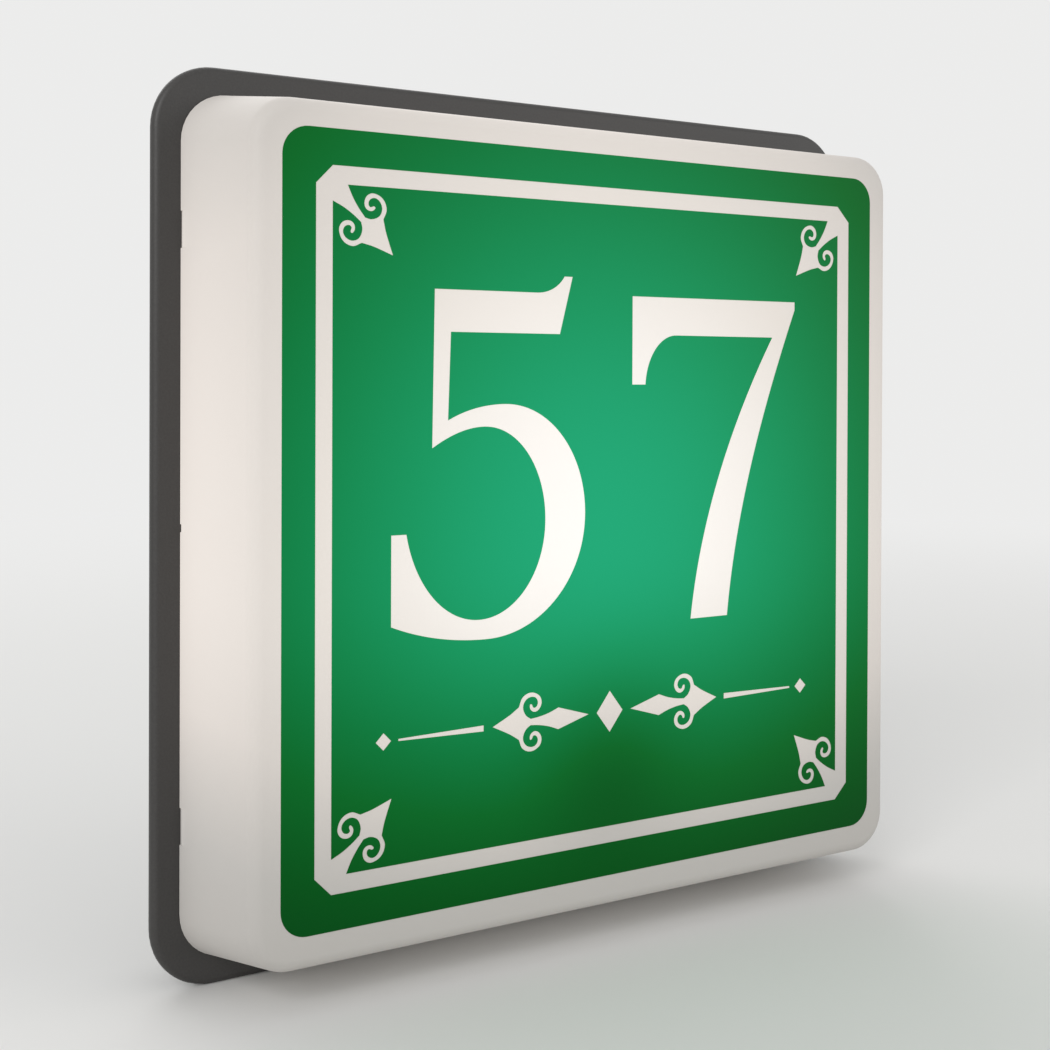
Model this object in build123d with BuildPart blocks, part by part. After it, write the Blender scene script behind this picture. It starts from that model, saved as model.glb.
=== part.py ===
from build123d import *
from math import asin, cos, radians, sin
import os

# Illuminated house number sign: a square opal light box that snaps onto a dark wall tray.
# Millimetres. +Z is up, the sign faces -Y, and the wall is the plane Y = 0. A height is a
# distance out from the wall, so the height h is the plane Y = -h. The origin is the centre
# of the four wall-fixing slots, on the tray's back.

# Film: green translucent vinyl on the cover's face, in two pieces round a clear frame line.
# It is laid on by hand, a little above the cover's middle, which is its lift.
film_side = 250.0
film_corner = 9.0
film_thickness = 0.3
film_lift = 1.0
border_width = 11.4
frame_line = 5.8
frame_chamfer = 5.8

# Opal cover: one shell, its side wall flared straight out towards the rim
cover_depth = 43.0
cover_margin = 9.4
cover_wall = 2.5
flare = 6.0
rim_corner = 16.0
front_corner = 14.0
front_round = 4.5
notch_width = 12.0
notch_depth = 2.0
weep_width = 2.6
weep_depth = 1.0

# Wall tray: flange, tray and collar in one moulding
flange_margin = 9.1
flange_corner = 21.0
flange_lip = 5.0
flange_wall = 3.0
flange_front_round = 2.2
flange_back_round = 2.4
tray_depth = 25.0
tray_draft = 2.0
tray_corner = 12.0
tray_wall = 2.5
floor_wall = 2.5
back_recess = 3.5
back_ring = 8.0
rib_wall = 2.0
rib_count = 5
rib_pitch = 42.0
flange_ribs = 7
flange_rib_pitch = 36.0
collar_rise = 12.0
skirt_gap = 2.6

# Seals
seal_depth = 1.5
seal_inset = 0.9
seal_gap = 2.5
gasket_width = 5.0
gasket_depth = 2.0
gasket_inset = 1.5
seat_gap = 0.1

# Wall fixing and cable entry
fixing_spacing = 180.0
slot_length = 10.0
slot_width = 5.2
fixing_pad = 9.0
washer_edge = 5.0
washer_thickness = 2.0
entry_x = 84.0
entry_z = 34.0
entry_hole_radius = 10.0
entry_guard_radius = 16.0
grommet_bore_radius = 4.5
grommet_flange = 1.5
grommet_flange_reach = 3.0
grommet_snout = 6.0
grommet_snout_wall = 1.6

# Cover clips: sprung steel, pushed over the collar
clip_offset = 96.0
clip_width = 10.0
clip_strip = 0.5
clip_leg = 8.0
clip_bend = 0.6
clip_seat = 0.85
clip_side_gap = 0.2
bulge_rise = 8.0
lug_gap = 2.0
lug_width = 12.0
lug_height = 2.8
lug_lead = 1.0
lug_above_notch = 0.6
snap_overlap = 0.85

# Gear plate: white enamelled sheet, its edges turned up as the reflector
plate_sheet = 1.0
plate_edge_gap = 1.5
plate_slope = 6.0
plate_rise = 9.0
plate_corner = 9.0
boss_inset = 8.5
boss_radius = 4.5
web_height = 18.0
web_wall = 2.0

# LED board, its chips and lenses
board_radius = 75.0
board_thickness = 1.6
board_hole_radius = 6.0
inner_ring = 32.0
inner_ring_count = 4
inner_ring_start = 45.0
outer_ring_inset = 18.0
outer_ring_count = 8
outer_ring_start = 22.5
chip_side = 5.0
chip_height = 1.4
lens_radius = 7.5
lens_height = 6.0
lens_hollow_radius = 4.4
lens_hollow_height = 2.6
lens_shoulder = 1.2
board_screw_inset = 7.0
board_screw_count = 3

# Driver: case, lid and circuit board
driver_x = -14.0
driver_z = -56.0
driver_length = 116.0
driver_width = 42.0
driver_wall = 2.0
driver_corner = 3.0
driver_inner_corner = 1.5
driver_edge = 1.0
driver_headroom = 4.0
driver_lid_height = 6.0
driver_ear = 9.0
driver_ear_height = 3.0
driver_ear_width = 16.0
driver_board_rise = 3.0
driver_board_gap = 1.0
foot_radius = 1.0
foot_inset = 6.0
transformer_length = 24.0
transformer_width = 20.0
transformer_height = 8.0
capacitor_radius = 3.5
capacitor_length = 16.0
capacitor_spacing = 55.0
capacitor_seat = 0.4

# Terminal block: two poles
block_x = 84.0
block_z = -12.0
pole_spacing = 12.0
block_length = 28.0
block_width = 20.0
block_height = 15.0
block_ear = 7.0
block_ear_width = 10.0
block_ear_height = 3.5
block_corner = 1.5
block_edge = 1.0
block_groove = 5.0
sleeve_radius = 2.6
sleeve_bore_radius = 1.5
sleeve_rise = 7.0
sleeve_length = 18.0
well_radius = 2.2
well_spacing = 10.0
clamp_screw_radius = 1.5
clamp_screw_length = 3.5

# Wires
mains_wire_radius = 1.1
led_wire_radius = 0.9
wire_grip = 4.0
lead_spread = 5.0
led_lead_spread = 1.7
led_run_x = -89.0
led_run_spread = 1.7
connector_x = 18.0
connector_length = 14.0
connector_width = 9.0
connector_height = 5.6
connector_wire_rise = 2.6
connector_corner = 0.8
plate_grommet_radius = 5.0
plate_grommet_bore = 3.2
plate_grommet_lip = 1.2
wire_bend = 12.0
led_bend = 8.0
led_turn_up = 5.0
led_turn_in = 2.2

# Screws: pan heads, and pilot holes just larger than the shanks
screw_gap = 0.05
head_clearance = 0.4
plate_screw_radius = 1.75
plate_screw_length = 12.0
plate_screw_head = 3.6
small_screw_radius = 1.45
small_screw_length = 7.5
small_screw_head = 2.9
board_screw_length = 4.0
head_rise_share = 0.68
pilot_floor = 0.8
small_boss_radius = 4.0

# Heights and half widths that follow from the sizes above
floor_top = back_recess + floor_wall
rim_height = tray_depth + flange_lip
front_height = rim_height + cover_depth
collar_top = rim_height + collar_rise
front_half = film_side / 2 + cover_margin
rim_half = front_half + flare
flange_half = rim_half + flange_margin


def flare_left(rise):
    """The share of the flare left at a height above the cover's rim."""
    return 1 - rise / cover_depth


def cover_half(rise):
    """Half the cover's outside width at a height above its rim."""
    return front_half + flare * flare_left(rise)


def cover_corner(rise):
    """The cover's corner radius at a height above its rim."""
    return front_corner + (rim_corner - front_corner) * flare_left(rise)


collar_half = cover_half(collar_rise) - cover_wall - skirt_gap
tray_foot_half = collar_half - tray_draft
plate_top_half = collar_half - tray_wall - clip_strip - plate_edge_gap
plate_flat_half = plate_top_half - plate_slope
boss_offset = plate_flat_half - boss_inset
plate_seat = rim_height
board_seat = plate_seat + plate_sheet
board_top = board_seat + board_thickness
driver_top = plate_seat - driver_headroom
driver_case_top = driver_top - driver_lid_height
lead_height = floor_top + sleeve_rise

os.makedirs("parts", exist_ok=True)


def facing(height):
    """The plane at a height above the wall, seen from the front: local x is X and local y is Z."""
    return Plane.XZ.offset(height)


def rounded_square(height, half, corner):
    """A rounded square, centred on the origin, at a height above the wall."""
    with BuildSketch(facing(height)) as outline:
        RectangleRounded(2 * half, 2 * half, corner)
    return outline.sketch


def edge_plane(side, offset):
    """A plane across one edge of the square: local x points out of that side, local y is the height."""
    angle = radians(90 * side)
    out = Vector(cos(angle), 0, sin(angle))
    along = Vector(-sin(angle), 0, cos(angle))
    return Plane(origin=along * offset, x_dir=out, z_dir=-along)


def place(x, z, height):
    """A point given by its place on the wall and its height above it."""
    return (x, -height, z)


def dome_middle(radius, base, top):
    """The middle of a ball's profile from the radius, at height base, to the axis, at height top."""
    sagitta = top - base
    ball = (radius**2 + sagitta**2) / (2 * sagitta)
    half_angle = asin(radius / ball) / 2
    return (ball * sin(half_angle), -(top - ball + ball * cos(half_angle)))


def pan_screw(radius, length, head_radius):
    """A screw whose domed head seats on Y = 0, with its pointed shank going in towards the wall."""
    rise = head_radius * head_rise_share
    with BuildPart() as screw:
        with BuildSketch():
            with BuildLine():
                Polyline(
                    (0, length),
                    (radius / 2, length),
                    (radius, length - radius),
                    (radius, 0),
                    (head_radius, 0),
                    (head_radius, -rise / 2),
                )
                ThreePointArc((head_radius, -rise / 2), dome_middle(head_radius, rise / 2, rise), (0, -rise))
                Line((0, -rise), (0, length))
            make_face()
        revolve(axis=Axis.Y)
    return screw.part


def wire(radius, bends, *points):
    """A round wire along straight runs joined by arcs, one bend radius for each corner."""
    with BuildPart() as run:
        with BuildLine() as route:
            FilletPolyline(*points, radius=bends)
        with BuildSketch(Plane(origin=route.line @ 0, z_dir=route.line % 0)):
            Circle(radius)
        sweep(path=route.line)
    return run.part


fixings = [(x * fixing_spacing / 2, z * fixing_spacing / 2) for x in (-1, 1) for z in (-1, 1)]
plate_bosses = [(x * boss_offset, z * boss_offset) for x in (-1, 1) for z in (-1, 1)]
driver_holes = [
    (driver_x + side * (driver_length + driver_ear) / 2, driver_z) for side in (-1, 1)
]
block_holes = [(block_x + side * (block_length + block_ear) / 2, block_z) for side in (-1, 1)]
poles = [(block_x + side * pole_spacing / 2, block_z) for side in (-1, 1)]
clamps = [(x, z + side * well_spacing / 2) for x, z in poles for side in (-1, 1)]
board_screw_ring = board_radius - board_screw_inset
board_screw_places = [
    (
        board_screw_ring * cos(radians(90 + n * 360 / board_screw_count)),
        board_screw_ring * sin(radians(90 + n * 360 / board_screw_count)),
    )
    for n in range(board_screw_count)
]
chip_rings = (
    (inner_ring, inner_ring_count, inner_ring_start),
    (board_radius - outer_ring_inset, outer_ring_count, outer_ring_start),
)
chips = [
    (radius * cos(radians(start + n * 360 / count)), radius * sin(radians(start + n * 360 / count)))
    for radius, count, start in chip_rings
    for n in range(count)
]
clip_planes = [edge_plane(side, end * clip_offset) for side in range(4) for end in (-1, 1)]
middle_planes = [edge_plane(side, 0) for side in range(4)]
lug_low = rim_height + notch_depth + lug_above_notch
lug_high = lug_low + lug_height
lug_tip = collar_half + lug_gap
bulge_height = rim_height + bulge_rise
seal_outer = rim_half - seal_inset
seal_inner = collar_half + seal_gap
seal_outer_corner = rim_corner - seal_inset
seal_inner_corner = seal_outer_corner - (seal_outer - seal_inner) / 2
gasket_outer = tray_foot_half - gasket_inset
gasket_inner = gasket_outer - gasket_width
gasket_corner = tray_corner - gasket_inset
recess_half = tray_foot_half - back_ring

# Wall tray: the flange with its lip turned back, the tapered tray behind it and the collar in front
with BuildPart() as base_tray:
    extrude(rounded_square(tray_depth, flange_half, flange_corner), amount=flange_lip)
    fillet(base_tray.edges().group_by(Axis.Y)[0], radius=flange_front_round)
    fillet(base_tray.edges().group_by(Axis.Y)[-1], radius=flange_back_round)
    # the flange is hollow behind, with ribs from the tray to the lip
    with BuildSketch(facing(tray_depth)):
        lip_half = flange_half - flange_wall
        RectangleRounded(2 * lip_half, 2 * lip_half, flange_corner - flange_wall)
        with GridLocations(flange_rib_pitch, 0, flange_ribs, 1):
            Rectangle(rib_wall, 2 * flange_half, mode=Mode.SUBTRACT)
        with GridLocations(0, flange_rib_pitch, 1, flange_ribs):
            Rectangle(2 * flange_half, rib_wall, mode=Mode.SUBTRACT)
        RectangleRounded(2 * collar_half, 2 * collar_half, tray_corner, mode=Mode.SUBTRACT)
    extrude(amount=flange_lip - flange_wall, mode=Mode.SUBTRACT)
    loft(
        [
            rounded_square(0, tray_foot_half, tray_corner),
            rounded_square(tray_depth, collar_half, tray_corner),
        ],
        ruled=True,
    )
    extrude(rounded_square(tray_depth, collar_half, tray_corner), amount=flange_lip + collar_rise)
    # seal groove in the flange
    with BuildSketch(facing(rim_height - seal_depth)):
        RectangleRounded(2 * seal_outer, 2 * seal_outer, seal_outer_corner)
        RectangleRounded(2 * seal_inner, 2 * seal_inner, seal_inner_corner, mode=Mode.SUBTRACT)
    extrude(amount=seal_depth, mode=Mode.SUBTRACT)
    # the hollow of the tray
    mouth = rounded_square(rim_height, collar_half - tray_wall, tray_corner - tray_wall)
    loft(
        [rounded_square(floor_top, tray_foot_half - tray_wall, tray_corner - tray_wall), mouth],
        ruled=True,
        mode=Mode.SUBTRACT,
    )
    extrude(mouth, amount=collar_rise, mode=Mode.SUBTRACT)
    # ribbed back: pads stay solid round the slots, the cable entry and the small screws
    with BuildSketch(facing(0)):
        RectangleRounded(2 * recess_half, 2 * recess_half, tray_corner - back_ring / 2)
        with GridLocations(rib_pitch, 0, rib_count, 1):
            Rectangle(rib_wall, 2 * recess_half, mode=Mode.SUBTRACT)
        with GridLocations(0, rib_pitch, 1, rib_count):
            Rectangle(2 * recess_half, rib_wall, mode=Mode.SUBTRACT)
        with Locations(*fixings):
            SlotOverall(slot_length + 2 * fixing_pad, slot_width + 2 * fixing_pad, mode=Mode.SUBTRACT)
        with Locations((entry_x, entry_z)):
            Circle(entry_guard_radius, mode=Mode.SUBTRACT)
        with Locations(*driver_holes, *block_holes):
            Circle(small_boss_radius, mode=Mode.SUBTRACT)
    extrude(amount=back_recess, mode=Mode.SUBTRACT)
    # gasket groove round the back
    with BuildSketch(facing(0)):
        RectangleRounded(2 * gasket_outer, 2 * gasket_outer, gasket_corner)
        RectangleRounded(2 * gasket_inner, 2 * gasket_inner, gasket_corner / 2, mode=Mode.SUBTRACT)
    extrude(amount=gasket_depth, mode=Mode.SUBTRACT)
    # bosses for the gear plate, each webbed to the two walls of its corner
    with BuildSketch(facing(floor_top)):
        with Locations(*plate_bosses):
            Circle(boss_radius)
    extrude(amount=plate_seat - floor_top)
    with BuildSketch(facing(floor_top)):
        for x, z in plate_bosses:
            reach = tray_foot_half - tray_wall / 2 - boss_offset
            with Locations((x + (reach / 2 if x > 0 else -reach / 2), z)):
                Rectangle(reach, web_wall)
            with Locations((x, z + (reach / 2 if z > 0 else -reach / 2))):
                Rectangle(web_wall, reach)
    extrude(amount=web_height)
    # wall slots, cable entry with room for the grommet's outer flange, and pilot holes
    with BuildSketch(facing(0)):
        with Locations(*fixings):
            SlotOverall(slot_length, slot_width)
        with Locations((entry_x, entry_z)):
            Circle(entry_hole_radius)
    extrude(amount=floor_top, mode=Mode.SUBTRACT)
    with BuildSketch(facing(0)):
        with Locations((entry_x, entry_z)):
            Circle(entry_hole_radius + grommet_flange_reach + seat_gap)
    extrude(amount=back_recess, mode=Mode.SUBTRACT)
    with BuildSketch(facing(plate_seat - plate_screw_length)):
        with Locations(*plate_bosses):
            Circle(plate_screw_radius + screw_gap)
    extrude(amount=plate_screw_length, mode=Mode.SUBTRACT)
    with BuildSketch(facing(pilot_floor)):
        with Locations(*driver_holes, *block_holes):
            Circle(small_screw_radius + screw_gap)
    extrude(amount=floor_top - pilot_floor, mode=Mode.SUBTRACT)
    # a shallow seat in the collar's edge for each clip
    with BuildSketch(*clip_planes):
        with Locations((collar_half - tray_wall / 2, collar_top - clip_seat / 2)):
            Rectangle(2 * tray_wall, clip_seat)
    extrude(amount=clip_width / 2 + clip_side_gap, both=True, mode=Mode.SUBTRACT)
base_tray.part.label = "base_tray"
export_step(base_tray.part, "parts/base_tray.step")

# Foam gasket between the tray and the wall
with BuildPart() as wall_gasket:
    with BuildSketch(facing(0)):
        outer = gasket_outer - seat_gap
        inner = gasket_inner + seat_gap
        RectangleRounded(2 * outer, 2 * outer, gasket_corner - seat_gap)
        RectangleRounded(2 * inner, 2 * inner, gasket_corner / 2 + seat_gap, mode=Mode.SUBTRACT)
    extrude(amount=gasket_depth)
wall_gasket.part.label = "wall_gasket"
export_step(wall_gasket.part, "parts/wall_gasket.step")

# Rubber washers under the heads of the wall screws
with BuildPart() as fixing_washers:
    with BuildSketch(facing(floor_top)):
        with Locations(*fixings):
            SlotOverall(slot_length + 2 * washer_edge, slot_width + 2 * washer_edge)
            SlotOverall(slot_length, slot_width, mode=Mode.SUBTRACT)
    extrude(amount=washer_thickness)
fixing_washers.part.label = "fixing_washers"
export_step(fixing_washers.part, "parts/fixing_washers.step")

# Cable grommet: two flanges grip the floor, and a snout seals on the cable
with BuildPart() as cable_grommet:
    with BuildSketch(Plane.XY):
        neck = entry_hole_radius - seat_gap
        flange_radius = entry_hole_radius + grommet_flange_reach
        back = -(back_recess - grommet_flange)
        front = -(floor_top + grommet_flange)
        with BuildLine():
            Polyline(
                (grommet_bore_radius, back),
                (flange_radius, back),
                (flange_radius, -back_recess),
                (neck, -back_recess),
                (neck, -floor_top),
                (flange_radius, -floor_top),
                (flange_radius - grommet_flange, front),
                (neck - grommet_flange, front),
                (grommet_bore_radius + grommet_snout_wall, front - grommet_snout),
                (grommet_bore_radius, front - grommet_snout),
                close=True,
            )
        make_face()
    revolve(axis=Axis.Y)
cable_grommet.part = cable_grommet.part.moved(Location(place(entry_x, entry_z, 0)))
cable_grommet.part.label = "cable_grommet"
export_step(cable_grommet.part, "parts/cable_grommet.step")

# Flat foam seal in the flange, under the cover's rim
with BuildPart() as cover_seal:
    with BuildSketch(facing(rim_height - seal_depth)):
        outer = seal_outer - seat_gap
        inner = seal_inner + seat_gap
        RectangleRounded(2 * outer, 2 * outer, seal_outer_corner - seat_gap)
        RectangleRounded(2 * inner, 2 * inner, seal_inner_corner + seat_gap, mode=Mode.SUBTRACT)
    extrude(amount=seal_depth)
cover_seal.part.label = "cover_seal"
export_step(cover_seal.part, "parts/cover_seal.step")

# Sprung clips: each a strip bent over the collar, its outer leg bulged to catch a lug
with BuildPart() as cover_clips:
    with BuildSketch(*clip_planes):
        leg_in = collar_half - tray_wall - clip_strip / 2
        leg_out = collar_half + clip_strip / 2
        crown = collar_top - clip_seat + clip_bend
        bulge = lug_tip + snap_overlap - clip_strip / 2
        with BuildLine():
            FilletPolyline(
                (leg_in, crown - clip_leg),
                (leg_in, crown),
                (leg_out, crown),
                (leg_out, (crown + bulge_height) / 2),
                (bulge, bulge_height),
                (leg_out, lug_low),
                radius=clip_bend,
            )
            offset(amount=clip_strip / 2, kind=Kind.INTERSECTION)
        make_face()
    extrude(amount=clip_width / 2, both=True)
cover_clips.part.label = "cover_clips"
export_step(cover_clips.part, "parts/cover_clips.step")

# Terminal block: ribbed body on two ears, with a through hole and a screw well for each pole
with BuildPart() as terminal_block:
    with BuildSketch(facing(floor_top)):
        with Locations((block_x, block_z)):
            Rectangle(block_length + 2 * block_ear, block_ear_width)
    extrude(amount=block_ear_height)
    with BuildSketch(facing(floor_top)):
        with Locations((block_x, block_z)):
            RectangleRounded(block_length, block_width, block_corner)
    extrude(amount=block_height)
    fillet(terminal_block.edges().group_by(Axis.Y)[0], radius=block_edge)
    with BuildSketch(facing(floor_top + block_height)):
        with Locations((block_x, block_z)):
            Rectangle(web_wall, block_width)
    extrude(amount=-block_groove, mode=Mode.SUBTRACT)
    with BuildSketch(Plane.XY.offset(block_z)):
        with Locations(*[(x, -lead_height) for x, z in poles]):
            Circle(sleeve_radius + seat_gap)
    extrude(amount=block_width, both=True, mode=Mode.SUBTRACT)
    with BuildSketch(facing(lead_height)):
        with Locations(*clamps):
            Circle(well_radius)
    extrude(amount=block_height, mode=Mode.SUBTRACT)
    with BuildSketch(facing(floor_top)):
        with Locations(*block_holes):
            Circle(small_screw_radius + screw_gap)
    extrude(amount=block_ear_height, mode=Mode.SUBTRACT)
terminal_block.part.label = "terminal_block"
export_step(terminal_block.part, "parts/terminal_block.step")

# Brass sleeves: bored for the wires, tapped from the front for the clamping screws
with BuildPart() as terminal_sleeves:
    with BuildSketch(Plane.XY.offset(block_z)):
        with Locations(*[(x, -lead_height) for x, z in poles]):
            Circle(sleeve_radius)
            Circle(sleeve_bore_radius, mode=Mode.SUBTRACT)
    extrude(amount=sleeve_length / 2, both=True)
    with BuildSketch(facing(lead_height)):
        with Locations(*clamps):
            Circle(clamp_screw_radius + screw_gap)
    extrude(amount=block_height, mode=Mode.SUBTRACT)
terminal_sleeves.part.label = "terminal_sleeves"
export_step(terminal_sleeves.part, "parts/terminal_sleeves.step")

# Clamping screws in the sleeves
with BuildPart() as terminal_screws:
    with BuildSketch(facing(lead_height + mains_wire_radius)):
        with Locations(*clamps):
            Circle(clamp_screw_radius)
    extrude(amount=clamp_screw_length)
terminal_screws.part.label = "terminal_screws"
export_step(terminal_screws.part, "parts/terminal_screws.step")

# Driver case: shell with an ear at each end and the leads' holes in its end walls
with BuildPart() as driver_case:
    with BuildSketch(facing(floor_top)):
        with Locations((driver_x, driver_z)):
            Rectangle(driver_length + 2 * driver_ear, driver_ear_width)
    extrude(amount=driver_ear_height)
    with BuildSketch(facing(floor_top)):
        with Locations((driver_x, driver_z)):
            RectangleRounded(driver_length, driver_width, driver_corner)
    extrude(amount=driver_case_top - floor_top)
    with BuildSketch(facing(floor_top + driver_wall)):
        with Locations((driver_x, driver_z)):
            RectangleRounded(
                driver_length - 2 * driver_wall, driver_width - 2 * driver_wall, driver_inner_corner
            )
    extrude(amount=driver_case_top, mode=Mode.SUBTRACT)
    with BuildSketch(facing(floor_top)):
        with Locations(*driver_holes):
            Circle(small_screw_radius + screw_gap)
    extrude(amount=driver_ear_height, mode=Mode.SUBTRACT)
    with BuildSketch(Plane.YZ.offset(driver_x)):
        with Locations(*[(-lead_height, driver_z + s * lead_spread) for s in (-1, 1)]):
            Circle(mains_wire_radius + seat_gap)
    extrude(amount=driver_length / 2 + driver_wall, mode=Mode.SUBTRACT)
    with BuildSketch(Plane.YZ.offset(driver_x)):
        with Locations(*[(-lead_height, driver_z + s * led_lead_spread) for s in (-1, 1)]):
            Circle(led_wire_radius + seat_gap)
    extrude(amount=-(driver_length / 2 + driver_wall), mode=Mode.SUBTRACT)
driver_case.part.label = "driver_case"
export_step(driver_case.part, "parts/driver_case.step")

# Driver lid: a cap with a locating lip inside the case
with BuildPart() as driver_lid:
    with BuildSketch(facing(driver_case_top)):
        with Locations((driver_x, driver_z)):
            RectangleRounded(driver_length, driver_width, driver_corner)
    extrude(amount=driver_lid_height)
    fillet(driver_lid.edges().group_by(Axis.Y)[0], radius=driver_edge)
    with BuildSketch(facing(driver_case_top - driver_wall)):
        with Locations((driver_x, driver_z)):
            lip_gap = driver_wall + seat_gap
            RectangleRounded(
                driver_length - 2 * lip_gap, driver_width - 2 * lip_gap, driver_inner_corner
            )
    extrude(amount=driver_wall)
    with BuildSketch(facing(driver_case_top - driver_wall)):
        with Locations((driver_x, driver_z)):
            hollow = 2 * driver_wall
            RectangleRounded(
                driver_length - 2 * hollow, driver_width - 2 * hollow, driver_inner_corner
            )
    extrude(amount=driver_lid_height, mode=Mode.SUBTRACT)
driver_lid.part.label = "driver_lid"
export_step(driver_lid.part, "parts/driver_lid.step")

# Driver board: circuit board on four feet, with a transformer and two lying capacitors
with BuildPart() as driver_board:
    component_base = floor_top + driver_wall + driver_board_rise
    circuit_length = driver_length - 2 * (driver_wall + driver_board_gap)
    circuit_width = driver_width - 2 * (driver_wall + driver_board_gap)
    with BuildSketch(facing(component_base - board_thickness)):
        with Locations((driver_x, driver_z)):
            Rectangle(circuit_length, circuit_width)
    extrude(amount=board_thickness)
    with BuildSketch(facing(floor_top + driver_wall)):
        with Locations((driver_x, driver_z)):
            with GridLocations(circuit_length - foot_inset, circuit_width - foot_inset, 2, 2):
                Circle(foot_radius)
    extrude(amount=driver_board_rise - board_thickness)
    with BuildSketch(facing(component_base)):
        with Locations((driver_x, driver_z)):
            RectangleRounded(transformer_length, transformer_width, foot_radius)
    extrude(amount=transformer_height)
    for side in (-1, 1):
        start = driver_x + (side * capacitor_spacing - capacitor_length) / 2
        with BuildSketch(Plane.YZ.offset(start)):
            with Locations((-(component_base + capacitor_radius - capacitor_seat), driver_z)):
                Circle(capacitor_radius)
        extrude(amount=capacitor_length)
driver_board.part.label = "driver_board"
export_step(driver_board.part, "parts/driver_board.step")

# Screws that hold the driver and the terminal block to the floor
small_screw = pan_screw(small_screw_radius, small_screw_length, small_screw_head)
with BuildPart() as driver_screws:
    with Locations(*[place(x, z, floor_top + driver_ear_height) for x, z in driver_holes]):
        add(small_screw)
driver_screws.part.label = "driver_screws"
export_step(driver_screws.part, "parts/driver_screws.step")

with BuildPart() as terminal_block_screws:
    with Locations(*[place(x, z, floor_top + block_ear_height) for x, z in block_holes]):
        add(small_screw)
terminal_block_screws.part.label = "terminal_block_screws"
export_step(terminal_block_screws.part, "parts/terminal_block_screws.step")

# Mains wires from the block's lower side to the driver's right end
for name, (pole_x, pole_z), side in (("live_wire", poles[0], 1), ("neutral_wire", poles[1], -1)):
    run_z = driver_z + side * lead_spread
    mains_wire = wire(
        mains_wire_radius,
        [wire_bend],
        place(pole_x, block_z - block_width / 2 + wire_grip, lead_height),
        place(pole_x, run_z, lead_height),
        place(driver_x + driver_length / 2 - wire_grip, run_z, lead_height),
    )
    mains_wire.label = name
    export_step(mains_wire, "parts/" + name + ".step")

# LED leads from the driver's left end, round to the middle, up through the gear plate and
# into the connector
for name, side in (("led_lead_red", 1), ("led_lead_black", -1)):
    start_z = driver_z - side * led_lead_spread
    run_x = led_run_x - side * led_run_spread
    end_z = side * led_run_spread
    lead = wire(
        led_wire_radius,
        [led_bend, led_bend, led_turn_up, led_turn_in],
        place(driver_x - driver_length / 2 + wire_grip, start_z, lead_height),
        place(run_x, start_z, lead_height),
        place(run_x, end_z, lead_height),
        place(0, end_z, lead_height),
        place(0, end_z, board_top + connector_wire_rise),
        place(connector_x - connector_length / 2 + wire_grip, end_z, board_top + connector_wire_rise),
    )
    lead.label = name
    export_step(lead, "parts/" + name + ".step")

# Gear plate: a sheet-metal tray with sloped edges, on the four bosses
with BuildPart() as gear_plate:
    plate_top = plate_seat + plate_rise
    loft(
        [
            rounded_square(plate_seat, plate_flat_half, plate_corner),
            rounded_square(plate_top, plate_top_half, plate_corner),
        ],
        ruled=True,
    )
    slope_share = plate_sheet / plate_rise
    inner_low = plate_flat_half - plate_sheet + plate_slope * slope_share
    loft(
        [
            rounded_square(board_seat, inner_low, plate_corner - plate_sheet),
            rounded_square(plate_top, plate_top_half - plate_sheet, plate_corner - plate_sheet),
        ],
        ruled=True,
        mode=Mode.SUBTRACT,
    )
    with BuildSketch(facing(plate_seat)):
        with Locations(*plate_bosses):
            Circle(plate_screw_radius + head_clearance)
        with Locations(*board_screw_places):
            Circle(small_screw_radius + screw_gap)
        Circle(plate_grommet_radius)
    extrude(amount=plate_sheet, mode=Mode.SUBTRACT)
gear_plate.part.label = "gear_plate"
export_step(gear_plate.part, "parts/gear_plate.step")

plate_screw = pan_screw(plate_screw_radius, plate_screw_length, plate_screw_head)
with BuildPart() as plate_screws:
    with Locations(*[place(x, z, board_seat) for x, z in plate_bosses]):
        add(plate_screw)
plate_screws.part.label = "plate_screws"
export_step(plate_screws.part, "parts/plate_screws.step")

# Grommet that guards the LED leads where they pass the gear plate
with BuildPart() as plate_grommet:
    with BuildSketch(Plane.XY):
        neck = plate_grommet_radius - seat_gap
        lip_radius = board_hole_radius - seat_gap
        with BuildLine():
            Polyline(
                (plate_grommet_bore, -(plate_seat - plate_grommet_lip)),
                (lip_radius, -(plate_seat - plate_grommet_lip)),
                (lip_radius, -plate_seat),
                (neck, -plate_seat),
                (neck, -board_seat),
                (lip_radius, -board_seat),
                (lip_radius, -(board_seat + plate_grommet_lip)),
                (plate_grommet_bore, -(board_seat + plate_grommet_lip)),
                close=True,
            )
        make_face()
    revolve(axis=Axis.Y)
plate_grommet.part.label = "plate_grommet"
export_step(plate_grommet.part, "parts/plate_grommet.step")

# LED board: a round aluminium-core board with the leads' hole in its middle
with BuildPart() as led_board:
    with BuildSketch(facing(board_seat)):
        Circle(board_radius)
        Circle(board_hole_radius, mode=Mode.SUBTRACT)
        with Locations(*board_screw_places):
            Circle(small_screw_radius + head_clearance, mode=Mode.SUBTRACT)
    extrude(amount=board_thickness)
led_board.part.label = "led_board"
export_step(led_board.part, "parts/led_board.step")

with BuildPart() as led_chips:
    with BuildSketch(facing(board_top)):
        with Locations(*chips):
            Rectangle(chip_side, chip_side)
    extrude(amount=chip_height)
led_chips.part.label = "led_chips"
export_step(led_chips.part, "parts/led_chips.step")

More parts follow.
